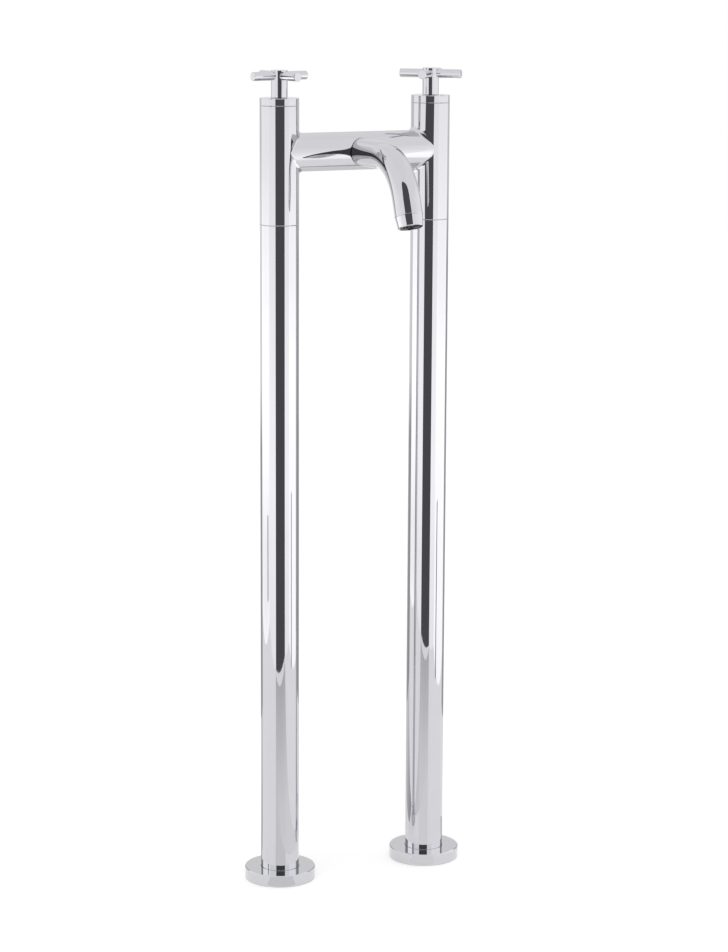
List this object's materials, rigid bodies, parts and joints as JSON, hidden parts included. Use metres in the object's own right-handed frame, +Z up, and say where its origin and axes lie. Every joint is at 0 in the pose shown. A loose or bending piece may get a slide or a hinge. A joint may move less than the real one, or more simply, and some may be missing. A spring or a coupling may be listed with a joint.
{
  "type": "floor standing bath filler",
  "caption": "Floor standing bath filler: two tall chromed legs, a cross bar body with a curved spout, and a quarter turn cross handle above each leg.",
  "frame": {"origin": "floor level, midway between the two legs, at the centre of the four floor screw holes", "axes": "+Z up along the legs, +X from the hot leg to the cold leg, -Y towards the bath, where the spout points"},
  "size_m": [0.259, 0.1909, 0.9028],
  "materials": {
    "chrome_plate": "mirror polished chrome plating",
    "zinc_plated_steel": "zinc plated",
    "steel_screw": "plain machined",
    "spring_steel": "bright spring steel",
    "cast_brass": "machined brass",
    "copper_pipe": "drawn copper",
    "rubber_seal": "matt rubber",
    "fibre_washer": "pressed fibre",
    "ceramic_disc": "lapped ceramic",
    "white_acetal": "low friction plastic",
    "grey_plastic": "moulded plastic"
  },
  "bodies": {
    "filler": {"mixer_body": "chrome_plate", "spout": "chrome_plate", "outlet_collar": "chrome_plate", "outlet_washer": "rubber_seal", "flow_straightener": "grey_plastic", "hot_floor_plate": "zinc_plated_steel", "hot_flange_cover": "chrome_plate", "hot_cover_seal": "rubber_seal", "hot_inlet_socket": "cast_brass", "hot_supply_pipe": "copper_pipe", "hot_swivel_nut": "cast_brass", "hot_tail_washer": "fibre_washer", "hot_tap_tail": "cast_brass", "hot_leg_tube": "chrome_plate", "hot_leg_guide": "cast_brass", "hot_guide_screws": "steel_screw", "hot_valve_bonnet": "cast_brass", "hot_bonnet_gasket": "fibre_washer", "hot_seat_washer": "rubber_seal", "hot_fixed_disc": "ceramic_disc", "hot_thrust_washer": "white_acetal", "hot_cap_ring": "chrome_plate", "cold_floor_plate": "zinc_plated_steel", "cold_flange_cover": "chrome_plate", "cold_cover_seal": "rubber_seal", "cold_inlet_socket": "cast_brass", "cold_supply_pipe": "copper_pipe", "cold_swivel_nut": "cast_brass", "cold_tail_washer": "fibre_washer", "cold_tap_tail": "cast_brass", "cold_leg_tube": "chrome_plate", "cold_leg_guide": "cast_brass", "cold_guide_screws": "steel_screw", "cold_valve_bonnet": "cast_brass", "cold_bonnet_gasket": "fibre_washer", "cold_seat_washer": "rubber_seal", "cold_fixed_disc": "ceramic_disc", "cold_thrust_washer": "white_acetal", "cold_cap_ring": "chrome_plate"},
    "hot_handle_set": {"hot_handle": "chrome_plate", "hot_handle_screw": "steel_screw", "hot_spindle": "cast_brass", "hot_spindle_seals": "rubber_seal", "hot_spindle_clip": "spring_steel", "hot_turning_disc": "ceramic_disc"},
    "cold_handle_set": {"cold_handle": "chrome_plate", "cold_handle_screw": "steel_screw", "cold_spindle": "cast_brass", "cold_spindle_seals": "rubber_seal", "cold_spindle_clip": "spring_steel", "cold_turning_disc": "ceramic_disc"}
  },
  "joints": [
    {"name": "hot_handle_turn", "type": "hinge", "parent": "filler", "child": "hot_handle_set", "pos_m": [-0.09, 0, 0.87], "axis": [0, 0, 1], "range_deg": [0, 90]},
    {"name": "cold_handle_turn", "type": "hinge", "parent": "filler", "child": "cold_handle_set", "pos_m": [0.09, 0, 0.87], "axis": [0, 0, -1], "range_deg": [0, 90]}
  ]
}
